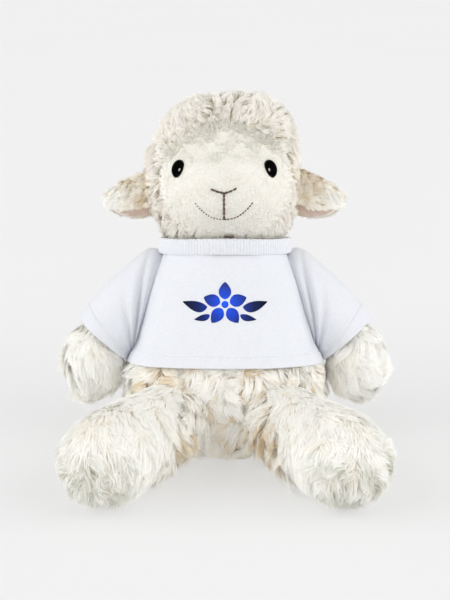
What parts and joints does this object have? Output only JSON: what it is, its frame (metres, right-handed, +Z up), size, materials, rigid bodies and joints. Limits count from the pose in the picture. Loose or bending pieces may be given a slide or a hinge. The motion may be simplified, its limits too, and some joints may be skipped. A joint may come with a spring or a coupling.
{
  "type": "plush sheep",
  "caption": "Sitting plush sheep in a short-sleeved T-shirt, with a turning head, floppy ears, swinging arms, lifting legs and a short tail.",
  "frame": {"origin": "middle of the flat seat, on the surface that the toy sits on", "axes": "+Z up; the face, the belly and the feet look along -Y; +X is the toy's own left side"},
  "size_m": [0.1922, 0.2047, 0.203],
  "materials": {
    "wool": "long curly pile, matte",
    "velour": "short pile, matte",
    "lining": "short pile, matte",
    "knit": "fine jersey, matte",
    "eye": "glossy",
    "washer": "satin",
    "thread": "embroidery thread, matte",
    "filling": "matte fibre",
    "pouch": "plain woven, matte",
    "film": "thin transfer film in bright to dark blue, satin"
  },
  "bodies": {
    "torso": {"torso_skin": "wool", "torso_filling": "filling", "pellet_pouch": "pouch", "shirt_front": "knit", "shirt_back": "knit", "shirt_collar": "knit"},
    "head": {"head_skin": "wool", "face_panel": "velour", "head_filling": "filling", "eye_left": "eye", "eye_right": "eye", "eye_washer_left": "washer", "eye_washer_right": "washer", "nose_stitch": "thread", "mouth_stitch": "thread"},
    "ear_left": {"ear_left_outer": "wool", "ear_left_lining": "lining"},
    "ear_right": {"ear_right_outer": "wool", "ear_right_lining": "lining"},
    "arm_left": {"arm_left_skin": "wool", "arm_left_filling": "filling", "sleeve_left": "knit"},
    "arm_right": {"arm_right_skin": "wool", "arm_right_filling": "filling", "sleeve_right": "knit"},
    "leg_left": {"leg_left_skin": "wool", "leg_left_filling": "filling"},
    "leg_right": {"leg_right_skin": "wool", "leg_right_filling": "filling"},
    "tail": {"tail": "wool"}
  },
  "joints": [
    {"name": "head_turn", "type": "hinge", "parent": "torso", "child": "head", "pos_m": [0, 0.02495, 0.11738], "axis": [0, 0.2079, 0.9781], "range_deg": [-25, 25], "stiffness_Nm_per_rad": 0.3},
    {"name": "ear_left_flop", "type": "hinge", "parent": "head", "child": "ear_left", "pos_m": [0.0505, 0.03164, 0.14407], "axis": [0, -0.9781, 0.2079], "range_deg": [-15, 25], "stiffness_Nm_per_rad": 0.02},
    {"name": "ear_right_flop", "type": "hinge", "parent": "head", "child": "ear_right", "pos_m": [-0.0505, 0.03164, 0.14407], "axis": [0, 0.9781, -0.2079], "range_deg": [-15, 25], "stiffness_Nm_per_rad": 0.02},
    {"name": "arm_left_swing", "type": "hinge", "parent": "torso", "child": "arm_left", "pos_m": [0.045, 0.0153, 0.0816], "axis": [-0.9563, -0.0608, -0.286], "range_deg": [-25, 75], "stiffness_Nm_per_rad": 0.15},
    {"name": "arm_right_swing", "type": "hinge", "parent": "torso", "child": "arm_right", "pos_m": [-0.045, 0.0153, 0.0816], "axis": [-0.9563, 0.0608, 0.286], "range_deg": [-25, 75], "stiffness_Nm_per_rad": 0.15},
    {"name": "leg_left_lift", "type": "hinge", "parent": "torso", "child": "leg_left", "pos_m": [0.028, -0.027, 0.0245], "axis": [-0.8988, -0.4384, 0], "range_deg": [-15, 20], "stiffness_Nm_per_rad": 0.5},
    {"name": "leg_right_lift", "type": "hinge", "parent": "torso", "child": "leg_right", "pos_m": [-0.028, -0.027, 0.0245], "axis": [-0.8988, 0.4384, 0], "range_deg": [-15, 20], "stiffness_Nm_per_rad": 0.5},
    {"name": "tail_wag", "type": "hinge", "parent": "torso", "child": "tail", "pos_m": [0, 0.05747, 0.0251], "axis": [0, 0.2079, 0.9781], "range_deg": [-20, 20], "stiffness_Nm_per_rad": 0.02}
  ]
}
